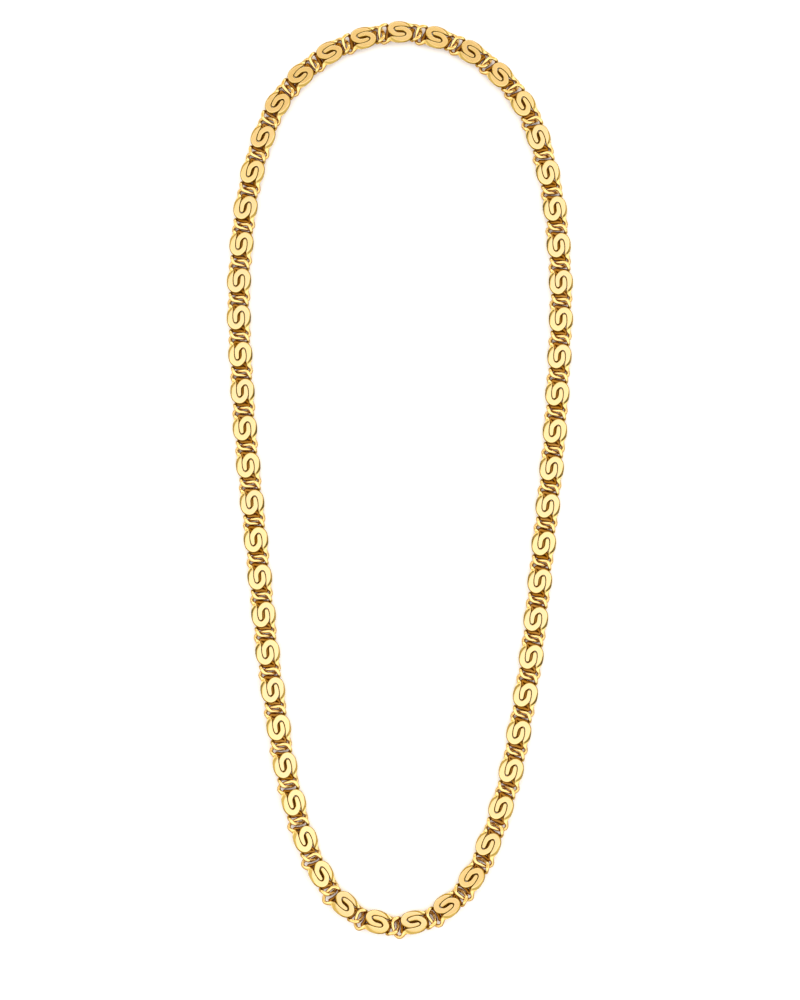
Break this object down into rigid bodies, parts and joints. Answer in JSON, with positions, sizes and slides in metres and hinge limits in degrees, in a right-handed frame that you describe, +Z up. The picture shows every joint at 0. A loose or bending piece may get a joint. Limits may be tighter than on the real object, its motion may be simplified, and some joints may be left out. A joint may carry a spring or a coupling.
{
  "type": "necklace",
  "caption": "Endless necklace of interlocking scroll-shaped gold-tone links with flat cut faces, laid flat in a long tapering loop.",
  "frame": {"origin": "middle of the chain's own box, on the surface that it lies on", "axes": "+Y along the long way of the loop, towards its broad end; +X across the loop; +Z up, out of the links' faces"},
  "size_m": [0.1388, 0.3702, 0.0066],
  "materials": {
    "gold": "pale gold plating, satin on the flat cut faces and polished on the round sides of the wire"
  },
  "bodies": {
    "root": {"chain_run_01": "gold", "chain_run_02": "gold", "chain_run_03": "gold", "chain_run_04": "gold", "chain_run_05": "gold", "chain_run_06": "gold", "chain_run_07": "gold", "chain_run_08": "gold", "chain_run_09": "gold", "chain_run_10": "gold", "chain_run_11": "gold"}
  },
  "joints": []
}
